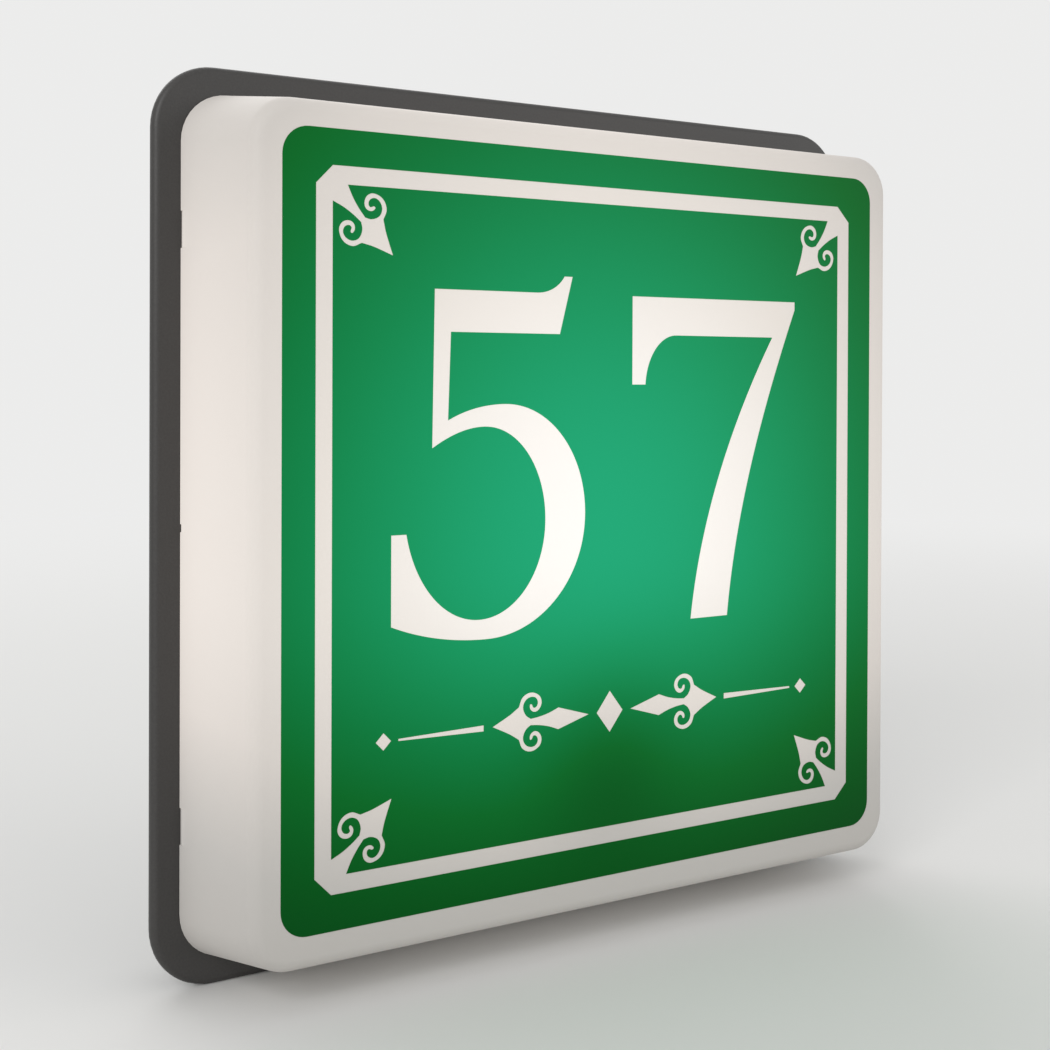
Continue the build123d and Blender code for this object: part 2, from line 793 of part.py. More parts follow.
# Lenses: a clear dome over each chip, hollow beneath
with BuildPart() as lens:
    with BuildSketch(Plane.XY):
        with BuildLine():
            Polyline(
                (0, -lens_hollow_height),
                (lens_hollow_radius, -lens_hollow_height),
                (lens_hollow_radius, 0),
                (lens_radius, 0),
                (lens_radius, -lens_shoulder),
            )
            ThreePointArc(
                (lens_radius, -lens_shoulder),
                dome_middle(lens_radius, lens_shoulder, lens_height),
                (0, -lens_height),
            )
            Line((0, -lens_height), (0, -lens_hollow_height))
        make_face()
    revolve(axis=Axis.Y)
with BuildPart() as led_lenses:
    with Locations(*[place(x, z, board_top) for x, z in chips]):
        add(lens.part)
led_lenses.part.label = "led_lenses"
export_step(led_lenses.part, "parts/led_lenses.step")

# Connector on the board, open at its side for the two leads
with BuildPart() as led_connector:
    with BuildSketch(facing(board_top)):
        with Locations((connector_x, 0)):
            RectangleRounded(connector_length, connector_width, connector_corner)
    extrude(amount=connector_height)
    with BuildSketch(Plane.YZ.offset(connector_x - connector_length / 2)):
        with Locations(*[(-(board_top + connector_wire_rise), s * led_run_spread) for s in (-1, 1)]):
            Circle(led_wire_radius + seat_gap)
    extrude(amount=wire_grip + seat_gap, mode=Mode.SUBTRACT)
led_connector.part.label = "led_connector"
export_step(led_connector.part, "parts/led_connector.step")

board_screw = pan_screw(small_screw_radius, board_screw_length, small_screw_head)
with BuildPart() as board_screws:
    with Locations(*[place(x, z, board_top) for x, z in board_screw_places]):
        add(board_screw)
board_screws.part.label = "board_screws"
export_step(board_screws.part, "parts/board_screws.step")


def cover_sections(inset, depth):
    """Outlines of the cover at its rim and at a depth above it, moved in by inset."""
    return [
        rounded_square(rim_height + rise, cover_half(rise) - inset, cover_corner(rise) - inset)
        for rise in (0, depth)
    ]


# The space inside the cover
with BuildPart() as cover_space:
    loft(cover_sections(cover_wall, cover_depth - cover_wall))
    fillet(cover_space.edges().group_by(Axis.Y)[0], radius=front_round - cover_wall)

# Opal cover: the flared shell, its lugs, and the notches in its rim
with BuildPart() as opal_cover:
    loft(cover_sections(0, cover_depth))
    fillet(opal_cover.edges().group_by(Axis.Y)[0], radius=front_round)
    add(cover_space.part, mode=Mode.SUBTRACT)
    with BuildSketch(*clip_planes):
        with BuildLine():
            root = cover_half(lug_high - rim_height) - cover_wall / 2
            Polyline(
                (root, lug_low),
                (lug_tip + lug_lead, lug_low),
                (lug_tip, lug_low + lug_lead),
                (lug_tip, lug_high - lug_lead / 2),
                (lug_tip + lug_lead / 2, lug_high),
                (root, lug_high),
                close=True,
            )
        make_face()
    extrude(amount=lug_width / 2, both=True)
    # notches for a screwdriver, cut in the outer half of the wall only
    with BuildSketch(*clip_planes):
        with Locations((rim_half, rim_height)):
            Rectangle(cover_wall, 2 * notch_depth)
    extrude(amount=notch_width / 2, both=True, mode=Mode.SUBTRACT)
    with BuildSketch(*middle_planes):
        with Locations((rim_half, rim_height)):
            Rectangle(cover_wall, 2 * weep_depth)
    extrude(amount=weep_width / 2, both=True, mode=Mode.SUBTRACT)
opal_cover.part.label = "opal_cover"
export_step(opal_cover.part, "parts/opal_cover.step")

# Film: a border outside the clear frame line, its inner corners chamfered, and a panel inside it
frame_half = film_side / 2 - border_width
panel_half = frame_half - frame_line
with BuildPart() as film_border:
    with BuildSketch(facing(front_height)):
        with Locations((0, film_lift)):
            RectangleRounded(film_side, film_side, film_corner)
        with BuildSketch(facing(front_height), mode=Mode.SUBTRACT) as window:
            with Locations((0, film_lift)):
                Rectangle(2 * frame_half, 2 * frame_half)
            chamfer(window.vertices(), length=frame_chamfer)
    extrude(amount=film_thickness)
film_border.part.label = "film_border"
export_step(film_border.part, "parts/film_border.step")

with BuildPart() as film_panel:
    with BuildSketch(facing(front_height)):
        with Locations((0, film_lift)):
            Rectangle(2 * panel_half, 2 * panel_half)
    extrude(amount=film_thickness)
film_panel.part.label = "film_panel"
export_step(film_panel.part, "parts/film_panel.step")
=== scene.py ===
import math

import bmesh
import bpy
import numpy as np
from mathutils import Matrix, Vector


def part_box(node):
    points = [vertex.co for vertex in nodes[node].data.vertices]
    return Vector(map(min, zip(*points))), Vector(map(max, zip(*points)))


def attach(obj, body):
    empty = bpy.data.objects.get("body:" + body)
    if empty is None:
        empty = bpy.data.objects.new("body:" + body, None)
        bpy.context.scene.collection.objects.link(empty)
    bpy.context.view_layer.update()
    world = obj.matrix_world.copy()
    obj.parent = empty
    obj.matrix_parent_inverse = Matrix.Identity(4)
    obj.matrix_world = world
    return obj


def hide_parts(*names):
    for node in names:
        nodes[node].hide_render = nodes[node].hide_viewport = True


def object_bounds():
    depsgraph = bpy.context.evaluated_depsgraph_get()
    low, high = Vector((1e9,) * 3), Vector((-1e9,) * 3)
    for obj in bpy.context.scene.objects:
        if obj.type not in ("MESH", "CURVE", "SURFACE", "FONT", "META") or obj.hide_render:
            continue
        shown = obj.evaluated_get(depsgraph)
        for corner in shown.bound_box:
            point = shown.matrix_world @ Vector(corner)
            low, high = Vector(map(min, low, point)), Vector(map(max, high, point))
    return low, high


# Illuminated house number sign, in metres: +Z is up, the sign faces -Y and the wall is Y = 0.
# A tray on the wall carries the driver and the LEDs, and a lit cover with a cut film snaps over it.
# Each section makes one piece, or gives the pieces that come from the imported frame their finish.
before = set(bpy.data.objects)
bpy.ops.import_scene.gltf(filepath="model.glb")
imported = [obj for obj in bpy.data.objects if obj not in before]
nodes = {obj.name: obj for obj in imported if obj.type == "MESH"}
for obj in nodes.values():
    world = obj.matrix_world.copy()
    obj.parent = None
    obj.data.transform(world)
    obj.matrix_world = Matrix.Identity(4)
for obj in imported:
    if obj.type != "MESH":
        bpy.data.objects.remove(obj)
cad_low, cad_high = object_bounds()

# Camera: the sign seen from its left, a little above its middle and almost level, so that its
# sides stay upright. The picture is shifted down instead of the camera being tilted.
MM = 0.001
camera_place = Vector((-343.5, -533.5, 48.6)) * MM
camera_heading = math.radians(33.75)
camera_dip = math.radians(0.41)
camera_roll = math.radians(0.20)
sensor_width = 36.0
picture_side = 1050
focal_pixels = 1654
horizon_row = 390

camera_data = bpy.data.cameras.new("camera")
camera_data.sensor_width = sensor_width
camera_data.lens = sensor_width * focal_pixels / picture_side
camera_data.shift_y = (horizon_row - picture_side / 2) / picture_side
camera = bpy.data.objects.new("camera", camera_data)
camera.matrix_world = (
    Matrix.Translation(camera_place)
    @ Matrix.Rotation(-camera_heading, 4, "Z")
    @ Matrix.Rotation(math.radians(90) - camera_dip, 4, "X")
    @ Matrix.Rotation(camera_roll, 4, "Z")
)
bpy.context.scene.collection.objects.link(camera)
bpy.context.scene.camera = camera
bpy.context.scene.view_settings.view_transform = "Standard"


# Studio: a pale paper floor that fades into an equally pale background, and three soft lamps.
# Lamps and world light the sign evenly at a plain level, and on top come the lit LEDs and the glow
# painted on the cover, the film and the lenses.
def add_node(tree, kind, inputs=(), **settings):
    """A new shader node. Settings are its properties, and inputs gives a socket, by its name or its
    number, a value or another node's output."""
    made = tree.nodes.new("ShaderNode" + kind)
    for name, value in settings.items():
        setattr(made, name, value)
    for key, value in dict(inputs).items():
        if isinstance(value, bpy.types.NodeSocket):
            tree.links.new(value, made.inputs[key])
        else:
            made.inputs[key].default_value = value
    return made


def add_math(tree, operation, *values):
    """The result of one Math node on values or other nodes' outputs."""
    return add_node(tree, "Math", dict(enumerate(values)), operation=operation).outputs[0]


def object_place(tree):
    """Where a point lies on its piece, in metres in the sign's own frame."""
    return add_node(tree, "TexCoord").outputs["Object"]


def new_finish(name, colour, roughness, **sockets):
    """A material whose Principled shader holds these constants. Gives the material, its node tree
    and the shader."""
    material = bpy.data.materials.new(name)
    material.use_nodes = True
    tree = material.node_tree
    shader = tree.nodes["Principled BSDF"]
    shader.inputs["Base Color"].default_value = (*colour, 1.0)
    shader.inputs["Roughness"].default_value = roughness
    for key, value in sockets.items():
        shader.inputs[key.replace("_", " ")].default_value = value
    return material, tree, shader


def new_piece(name, corners, faces, material, body):
    """A mesh piece from an array of corners and lists of their numbers, riding on a body if any."""
    mesh = bpy.data.meshes.new(name)
    mesh.from_pydata(corners.tolist(), [], faces)
    mesh.materials.append(material)
    piece = bpy.data.objects.new(name, mesh)
    bpy.context.scene.collection.objects.link(piece)
    if body:
        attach(piece, body)
    return piece


backdrop_colour = (0.84, 0.84, 0.835, 1.0)
world_strength = 0.70
floor_reach = 9.0
floor_corners = 64
fade_start = 0.35
fade_end = 1.8
lamp_distance = 1.5

world = bpy.data.worlds.new("studio")
bpy.context.scene.world = world
world.use_nodes = True
sky = world.node_tree

# the background has its full level where it is seen, straight, mirrored or through a lens, and the
# world's strength where it only lights the sign
rays = add_node(sky, "LightPath").outputs
seen = add_math(sky, "MAXIMUM", rays["Is Camera Ray"], rays["Is Glossy Ray"])
seen = add_math(sky, "MAXIMUM", seen, rays["Is Transmission Ray"])
level = add_node(sky, "MapRange", {"Value": seen, "To Min": world_strength, "To Max": 1.0})
sky.nodes["Background"].inputs["Color"].default_value = backdrop_colour
sky.links.new(level.outputs["Result"], sky.nodes["Background"].inputs["Strength"])

# the farther out, the more the floor turns into the background, but only to the camera
floor_finish, tree, shader = new_finish("floor_paper", colour=(0.78, 0.78, 0.77), roughness=0.85)
distance = add_node(tree, "VectorMath", {0: object_place(tree)}, operation="LENGTH")
fade = add_node(
    tree, "MapRange",
    {"Value": distance.outputs["Value"], "From Min": fade_start, "From Max": fade_end},
    interpolation_type="SMOOTHSTEP",
)
seen = add_node(tree, "LightPath").outputs["Is Camera Ray"]
share = add_math(tree, "MULTIPLY", fade.outputs["Result"], seen)
paper = add_node(tree, "Emission", {"Color": backdrop_colour})
mixed = add_node(tree, "MixShader", {0: share, 1: shader.outputs[0], 2: paper.outputs[0]})
tree.links.new(mixed.outputs[0], tree.nodes["Material Output"].inputs["Surface"])
turns = np.linspace(0, 2 * np.pi, floor_corners, endpoint=False)
floor_edge = np.stack(
    [floor_reach * np.cos(turns), floor_reach * np.sin(turns), np.full_like(turns, cad_low.z)],
    axis=1,
)
new_piece("floor", floor_edge, [list(range(floor_corners))], floor_finish, None)

# each lamp stands so many lamp distances across, behind and above the sign's middle, and has its
# side in metres and its power in watts
for name, across, behind, above, size, power in (
    ("key_lamp", -1.25, -1.0, 0.8, 1.2, 26.0),
    ("fill_lamp", 1.1, -1.2, 0.3, 1.4, 9.0),
    ("back_lamp", 0.2, 1.2, 1.1, 2.4, 20.0),
):
    lamp_data = bpy.data.lights.new(name, "AREA")
    lamp_data.size = size
    lamp_data.energy = power
    lamp = bpy.data.objects.new(name, lamp_data)
    lamp.location = Vector((across, behind, above)) * lamp_distance
    lamp.rotation_euler = lamp.location.to_track_quat("Z", "Y").to_euler()
    bpy.context.scene.collection.objects.link(lamp)


# Opal cover: one shell moulded in milky acrylic, its side wall flared towards the rim, with a
# notch for a screwdriver in front of each of the eight lugs inside and a weep in each side.
# Its emission is a painted glow standing in for the LEDs behind it: brightest near the middle of
# the face and dimmer low down.
film_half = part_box("film_border")[1].x
rim = -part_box("opal_cover")[1].y
front = -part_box("opal_cover")[0].y
cover_depth = front - rim
cover_margin = 9.4 * MM
cover_wall = 2.5 * MM
rim_corner = 16.0 * MM
front_corner = 14.0 * MM
front_round = 4.5 * MM
rim_edge = 0.35 * MM
notch_places = (-96.0 * MM, 96.0 * MM)
notch_half = 6.0 * MM
notch_depth = 2.0 * MM
notch_inset = 0.5 * MM
weep_half = 1.3 * MM
weep_depth = 1.0 * MM
collar_rise = 12.0 * MM
lug_clear = 0.6 * MM
lug_half = 6.0 * MM
lug_low = 2.6 * MM
lug_high = 5.4 * MM
lug_lead = 1.0 * MM
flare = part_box("opal_cover")[1].x - film_half - cover_margin
flare_angle = math.atan(flare / cover_depth)

# how finely the shell is divided; its sharp steps are slopes one to four hairs wide
hair = 0.01 * MM
plain_places = (-65.0 * MM, -40.0 * MM, 0.0, 40.0 * MM, 65.0 * MM)
corner_steps = 10
edge_rows = 9
wall_rows = 10
first_rise = 3.0 * MM
last_rise = cover_depth - 1.5 * front_round
wall_rises = np.linspace(first_rise, last_rise, wall_rows)
face_shares = (0.66, 0.33, 0.02)


def cover_half(rise):
    """Half the cover's outside width at a rise above its rim: the film's half, the margin beside it
    and the share of the flare that the rise leaves of the depth."""
    return film_half + cover_margin + flare * (1 - rise / cover_depth)


def cover_corner(rise):
    """The cover's outside corner radius at a rise above its rim: the front's, plus the share of its
    difference from the rim's that the rise leaves of the depth."""
    return front_corner + (rim_corner - front_corner) * (1 - rise / cover_depth)


def side_stations():
    """Places along one side, from left to right: the plain ones, and a pair of them a hair to each
    side of every step in the rim's height."""
    steps = [notch_places[0] - notch_half, notch_places[0] + notch_half, -weep_half]
    left = [step + offset for step in steps for offset in (-2 * hair, 2 * hair)]
    return np.array(sorted([*left, *plain_places, *(-place for place in left)]))


def four_sides(points):
    """One side's points, then those of the other three. Each side is the one before after a quarter
    turn, so that its X is that one's minus Z, and its Z is that one's X."""
    quarter = np.array([[0.0, 1.0], [-1.0, 0.0]])
    turned = [points]
    for _ in range(3):
        turned.append(turned[-1] @ quarter)
    return np.concatenate(turned)


def cover_section(rise, inset=0.0):
    """The cover's outline at a rise above its rim, moved in by the inset: the stations along each
    side, and after them a quarter circle of the corner radius."""
    half = cover_half(rise) - inset
    corner = cover_corner(rise) - inset
    angles = np.linspace(0, np.pi / 2, corner_steps + 1)
    side = np.stack([np.full_like(stations, half), stations], axis=1)
    arc = half - corner + corner * np.stack([np.cos(angles), np.sin(angles)], axis=1)
    return four_sides(np.concatenate([side, arc]))


def front_edge(top, radius, inset):
    """Rises and insets of the rows round the edge between wall and face: an arc that starts along
    the wall's own slope and ends flat, with its middle one radius below the top and one radius in
    from the wall."""
    angles = np.linspace(flare_angle, np.pi / 2, edge_rows)
    rises = top - radius + radius * np.sin(angles)
    middle = cover_half(top - radius) - inset - radius / math.cos(flare_angle)
    return list(zip(rises, cover_half(rises) - middle - radius * np.cos(angles)))


def add_row(outline, height):
    """Adds a row of the shell's corners: an outline's X and Z, at a height from the wall that is
    minus Y and may differ from corner to corner."""
    heights = np.broadcast_to(height, len(outline))
    shell_rows.append(np.stack([outline[:, 0], -heights, outline[:, 1]], axis=1))


def row_faces(row_count, column_count, wrap_rows=False):
    """Quads between neighbouring rows of a grid that closes on itself round its columns."""
    here = np.arange(row_count * column_count).reshape(row_count, column_count)
    below = np.roll(here, -1, axis=0) if wrap_rows else here[1:]
    above = here if wrap_rows else here[:-1]
    onward = [np.roll(below, -1, axis=1), np.roll(above, -1, axis=1)]
    return np.stack([above, below, *onward], axis=-1).reshape(-1, 4)


def smooth(piece, degrees):
    """Smooth shading, kept sharp at edges that turn by more than the angle."""
    piece.data.shade_smooth()
    piece.data.set_sharp_from_angle(angle=math.radians(degrees))


# the rim's height round the outline: it steps up in the notches and weeps, and corners have none
stations = side_stations()
along = np.tile(np.concatenate([stations, np.full(corner_steps + 1, np.inf)]), 4)
in_notch = np.abs(np.abs(along) - notch_places[1]) < notch_half
in_weep = np.abs(along) < weep_half
rim_lift = notch_depth * in_notch + weep_depth * in_weep

# the profile: over the rim, up the outer wall, across the face to its middle, and back inside
shell_rows = []
add_row(cover_section(0, cover_wall), rim)
add_row(cover_section(0, notch_inset + hair), rim)
add_row(cover_section(0, notch_inset), rim + rim_lift)
add_row(cover_section(0, rim_edge), rim + rim_lift)
add_row(cover_section(0), rim + rim_lift + rim_edge)
for rise in wall_rises:
    add_row(cover_section(rise), rim + rise)
for rise, inset in front_edge(cover_depth, front_round, 0.0):
    add_row(cover_section(rise, inset), rim + rise)
face_edge = shell_rows[-1][:, [0, 2]]
for share in face_shares:
    add_row(face_edge * share, front)
outer_ring = len(shell_rows) - 1
inner_ring = len(shell_rows)
for share in face_shares[::-1]:
    add_row(face_edge * share, front - cover_wall)
inner_edge = front_edge(cover_depth - cover_wall, front_round - cover_wall, cover_wall)
for rise, inset in inner_edge[::-1]:
    add_row(cover_section(rise, inset), rim + rise)
for rise in wall_rises[::-1]:
    add_row(cover_section(rise, cover_wall), rim + rise)

# the two small rings in the middle of the face are closed, and nothing joins them through it
row_count = len(shell_rows)
column_count = len(face_edge)
shell_corners = np.concatenate(shell_rows)
shell_quads = row_faces(row_count, column_count, wrap_rows=True)[:, ::-1]
joining = np.isin(shell_quads // column_count, (outer_ring, inner_ring)).all(axis=1)
ring = np.arange(column_count)
shell_faces = shell_quads[~joining].tolist()
shell_faces.append((outer_ring * column_count + ring).tolist())
shell_faces.append((inner_ring * column_count + ring)[::-1].tolist())

# lugs: a wedge-nosed block inside each notch, carried up into the wall; a profile of distances from
# the sign's axis and heights above the rim, drawn out from one end of the lug to the other
lug_root = cover_half(lug_high) - cover_wall / 2
lug_tip = cover_half(collar_rise) - cover_wall - lug_clear
lug_profile = np.array([
    (lug_root, lug_low), (lug_tip + lug_lead, lug_low), (lug_tip, lug_low + lug_lead),
    (lug_tip, lug_high - lug_lead / 2), (lug_tip + lug_lead / 2, lug_high), (lug_root, lug_high),
])
lug_ends = [place + end for place in notch_places for end in (-lug_half, lug_half)]
profile_count = len(lug_profile)
out, up = np.tile(lug_profile, (len(lug_ends), 1)).T
lug_points = four_sides(np.stack([out, np.repeat(lug_ends, profile_count)], axis=1))
lug_heights = rim + np.tile(up, 4)
lug_corners = np.stack([lug_points[:, 0], -lug_heights, lug_points[:, 1]], axis=1)
here = np.arange(profile_count)
onward = (here + 1) % profile_count
lug_quads = np.stack([here, onward, onward + profile_count, here + profile_count], axis=1)
for first in range(0, len(lug_corners), 2 * profile_count):
    first += len(shell_corners)
    shell_faces += (lug_quads + first).tolist()
    shell_faces += [(here + first)[::-1].tolist(), (here + first + profile_count).tolist()]
shell_corners = np.concatenate([shell_corners, lug_corners])


def add_ramp(tree, factor, *stops):
    """A colour ramp over factor. Each stop is its place from 0 to 1 and a red, green and blue."""
    ramp = add_node(tree, "ValToRGB", {"Fac": factor})
    elements = ramp.color_ramp.elements
    while len(elements) < len(stops):
        elements.new(1.0)
    for element, (place, colour) in zip(elements, stops):
        element.position = place
        element.color = (*colour, 1.0)
    return ramp.outputs["Color"]


def add_grain(tree, shader, cells, depth, detail=3.0):
    """A fine moulded surface: noise with so many cells to a metre, standing up by the depth. Gives
    the noise."""
    inputs = {"Vector": object_place(tree), "Scale": cells, "Detail": detail}
    noise = add_node(tree, "TexNoise", inputs).outputs["Fac"]
    bump = add_node(tree, "Bump", {"Height": noise, "Distance": depth})
    tree.links.new(bump.outputs["Normal"], shader.inputs["Normal"])
    return noise


def bell(tree, place, middle, reaches):
    """A bell over the face, 1 at its middle: e to the power of minus the sum of three squares,
    those of the offsets sideways, below the middle and above it, each over its own reach."""
    sideways = add_math(tree, "SUBTRACT", place["X"], middle[0])
    upwards = add_math(tree, "SUBTRACT", place["Z"], middle[1])
    below = add_math(tree, "MINIMUM", upwards, 0.0)
    above = add_math(tree, "MAXIMUM", upwards, 0.0)
    total = 0.0
    for offset, reach in zip((sideways, below, above), reaches):
        scaled = add_math(tree, "DIVIDE", offset, reach)
        total = add_math(tree, "MULTIPLY_ADD", scaled, scaled, total)
    return add_math(tree, "EXPONENT", add_math(tree, "MULTIPLY", total, -1.0))


def painted_glow_share(tree):
    """The share of the painted glow over the face, which stands in for the LEDs' light through it,
    from 0 to about 1: a wide bell round a point just below the middle, less a small one low down,
    a painted shadow where the driver's bulk keeps the back of the tray dark."""
    place = add_node(tree, "SeparateXYZ", {0: object_place(tree)}).outputs
    wide = bell(tree, place, painted_glow_middle, painted_glow_reaches)
    painted_shadow = bell(tree, place, painted_shadow_middle, painted_shadow_reaches)
    return add_math(tree, "SUBTRACT", wide, add_math(tree, "MULTIPLY", painted_shadow, painted_shadow_depth))


# painted glow on the acrylic for the LEDs' light through it, from the dim rim of the face to its
# bright middle; painted light makes the side wall a little brighter than the face beside it, and
# more so towards the rim
painted_glow_middle = (-3.0 * MM, -9.0 * MM)
painted_glow_reaches = (142.0 * MM, 78.0 * MM, 150.0 * MM)
painted_shadow_middle = (0.0, -78.0 * MM)
painted_shadow_reaches = (31.0 * MM, 31.0 * MM, 31.0 * MM)
painted_shadow_depth = 0.19
painted_side_light_gain = 1.2
painted_rim_light_gain = 1.22
opal_finish, tree, shader = new_finish(
    "opal_acrylic", colour=(0.40, 0.385, 0.365), roughness=0.5, Specular_IOR_Level=0.18,
    Emission_Strength=1.0,
)
add_grain(tree, shader, cells=900.0, depth=0.02 * MM)
# emission colours of the painted glow, dim at the face's rim and bright in its middle
lit = add_ramp(
    tree, painted_glow_share(tree),
    (0.0, (0.07, 0.065, 0.06)), (0.1, (0.12, 0.115, 0.11)), (0.27, (0.295, 0.265, 0.245)),
    (0.42, (0.365, 0.33, 0.305)), (0.55, (0.42, 0.38, 0.345)), (1.0, (0.66, 0.635, 0.61)),
)
behind = add_node(tree, "SeparateXYZ", {0: object_place(tree)}).outputs["Y"]
wall_start = front_round - front
# painted light: the emission grows up the side wall, and more towards the rim
for start, end, gain in ((-front, wall_start, painted_side_light_gain), (wall_start, -rim, painted_rim_light_gain)):
    limits = {"From Min": start, "From Max": end, "To Min": 1.0, "To Max": gain}
    painted_brightening = add_node(tree, "MapRange", {"Value": behind, **limits}).outputs["Result"]
    lit = add_node(tree, "VectorMath", {0: lit, "Scale": painted_brightening}, operation="SCALE").outputs[0]
tree.links.new(lit, shader.inputs["Emission Color"])
cover_shell = new_piece("cover_shell", shell_corners, shell_faces, opal_finish, "cover")
smooth(cover_shell, degrees=32)
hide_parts("opal_cover")


# Film: green translucent vinyl, cut by a plotter and laid on the cover's face in two pieces.
# What is white is the cover itself, seen where the film is cut away: the frame line with its
# chamfered corners, the corner scrolls that grow out of it, the numerals and the tailpiece.
film_thickness = 0.1 * MM
film_lift = (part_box("film_border")[0].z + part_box("film_border")[1].z) / 2
panel_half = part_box("film_panel")[1].x
frame_line = 5.8 * MM
frame_chamfer = 5.8 * MM
film_corner = 9.0 * MM

# limits for the outlines: steps in a run; one less the cosine of a bend, below which the run is
# straight; and turns in radians, so that the sine under a handle's length is never nothing
curve_step = 1.5 * MM
fewest_steps = 10
most_steps = 36
least_bend = 1e-6
least_turn = 0.001
most_turn = 2.6
merge_distance = 0.001 * MM


def drawn_outline(flat, knots):
    """One closed Bezier outline, drawn as a sign writer does, in metres. A knot is a place and how
    the line goes through it: nothing for a corner between straight runs, True for smooth and
    parallel to its two neighbours, one angle for smooth in that direction, two for the angles in
    which it arrives and leaves, where None is straight along its run.
    Each handle is the part of the run to its neighbour that lies along the knot's own direction,
    times four thirds of the tangent of a quarter of the turn over the sine of the turn, which makes
    a circle's arc round and a quarter of an ellipse true.
    A run that is straight at both ends gets no points between its knots. Every other run gets as
    many as the outline's longest one holds curve steps, within the fewest and the most."""
    places = np.array([knot[:2] for knot in knots], float)
    onward = np.roll(places, -1, axis=0) - places
    ahead = np.arctan2(onward[:, 1], onward[:, 0])
    across = np.roll(places, -1, axis=0) - np.roll(places, 1, axis=0)
    parallel = np.arctan2(across[:, 1], across[:, 0])

    def directions(which, along_run):
        chosen = []
        for knot, beside, run in zip(knots, parallel, along_run):
            way = knot[2:]
            if not way:
                chosen.append(run)
            elif way[0] is True:
                chosen.append(beside)
            else:
                angle = way[which] if len(way) > 1 else way[0]
                chosen.append(run if angle is None else math.radians(angle))
        return np.array(chosen)

    leave = directions(1, ahead)
    arrive = np.roll(directions(0, np.roll(ahead, 1)), -1)
    straight = 1 - np.minimum(np.cos(leave - ahead), np.cos(arrive - ahead)) < least_bend
    turn = np.abs((arrive - leave + np.pi) % (2 * np.pi) - np.pi).clip(least_turn, most_turn)
    reach = (4 / 3) * np.tan(turn / 4) / np.sin(turn)
    leave = np.stack([np.cos(leave), np.sin(leave)], axis=1)
    arrive = np.stack([np.cos(arrive), np.sin(arrive)], axis=1)
    out = places + leave * (reach * (onward * leave).sum(axis=1))[:, None]
    back = places + onward - arrive * (reach * (onward * arrive).sum(axis=1))[:, None]
    back = np.roll(back, 1, axis=0)
    spline = flat.splines.new("BEZIER")
    spline.bezier_points.add(len(places) - 1)
    for key, values in (("co", places), ("handle_left", back), ("handle_right", out)):
        spline.bezier_points.foreach_set(key, np.pad(values, ((0, 0), (0, 1))).ravel())
    spline.use_cyclic_u = True
    longest = np.linalg.norm(onward[~straight], axis=1).max(initial=0.0)
    spline.resolution_u = int(np.clip(longest / curve_step, fewest_steps, most_steps))
    for number in np.flatnonzero(straight):
        spline.bezier_points[number].handle_right_type = "VECTOR"
        spline.bezier_points[(number + 1) % len(knots)].handle_left_type = "VECTOR"


def cut_film(name, outlines, material, node):
    """A sheet as thick as the film, laid on the cover's face. The first outline is its edge, and
    the others are cut out of it."""
    flat = bpy.data.curves.new(name + "_outline", "CURVE")
    flat.dimensions = "2D"
    flat.fill_mode = "BOTH"
    flat.extrude = film_thickness / 2
    for knots in outlines:
        drawn_outline(flat, knots)
    drawing = bpy.data.objects.new(name + "_outline", flat)
    bpy.context.scene.collection.objects.link(drawing)
    bpy.context.view_layer.update()
    drawn = drawing.evaluated_get(bpy.context.evaluated_depsgraph_get())
    mesh = bpy.data.meshes.new_from_object(drawn)
    bpy.data.objects.remove(drawing)
    upright = Matrix.Rotation(math.radians(90), 4, "X")
    on_face = Matrix.Translation((0, -(front + film_thickness / 2), film_lift))
    mesh.transform(on_face @ upright)
    sheet = bmesh.new()
    sheet.from_mesh(mesh)
    bmesh.ops.remove_doubles(sheet, verts=sheet.verts, dist=merge_distance)
    bmesh.ops.dissolve_degenerate(sheet, dist=merge_distance, edges=sheet.edges)
    bmesh.ops.recalc_face_normals(sheet, faces=sheet.faces)
    sheet.to_mesh(mesh)
    sheet.free()
    mesh.name = name
    mesh.materials.clear()
    mesh.materials.append(material)
    piece = bpy.data.objects.new(name, mesh)
    bpy.context.scene.collection.objects.link(piece)
    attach(piece, "cover")
    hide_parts(node)


# translucent green over the lit cover, its emission a painted glow for the light coming through:
# deep where little comes through, bluer where much does
vinyl_finish, tree, shader = new_finish(
    "green_vinyl", colour=(0.001, 0.045, 0.007), roughness=0.36, Specular_IOR_Level=0.05,
    Emission_Strength=1.0,
)
add_grain(tree, shader, cells=260.0, depth=0.03 * MM, detail=1.0)
# emission colours of the painted glow through the film
lit = add_ramp(
    tree, painted_glow_share(tree),
    (0.0, (0.0, 0.004, 0.0)), (0.1, (0.0, 0.040, 0.003)), (0.25, (0.001, 0.093, 0.013)),
    (0.4, (0.002, 0.145, 0.038)), (0.55, (0.004, 0.198, 0.066)), (0.75, (0.007, 0.268, 0.110)),
    (1.0, (0.012, 0.356, 0.178)),
)
tree.links.new(lit, shader.inputs["Emission Color"])

# outer border: rounded outside, its window chamfered at the corners
window_half = panel_half + frame_line
corner_start = (film_half, film_half - film_corner)
chamfer_start = (window_half, window_half - frame_chamfer)
border_edge = []
border_window = []
for corner in range(4):
    turned = Matrix.Rotation(corner * math.pi / 2, 2)
    for place, arriving in ((corner_start, 90), (corner_start[::-1], 180)):
        border_edge.append((*(turned @ Vector(place)), arriving + corner * 90))
    for place in (chamfer_start, chamfer_start[::-1]):
        border_window.append(tuple(turned @ Vector(place)))
cut_film("film_border_cut", [border_edge, border_window], vinyl_finish, "film_border")

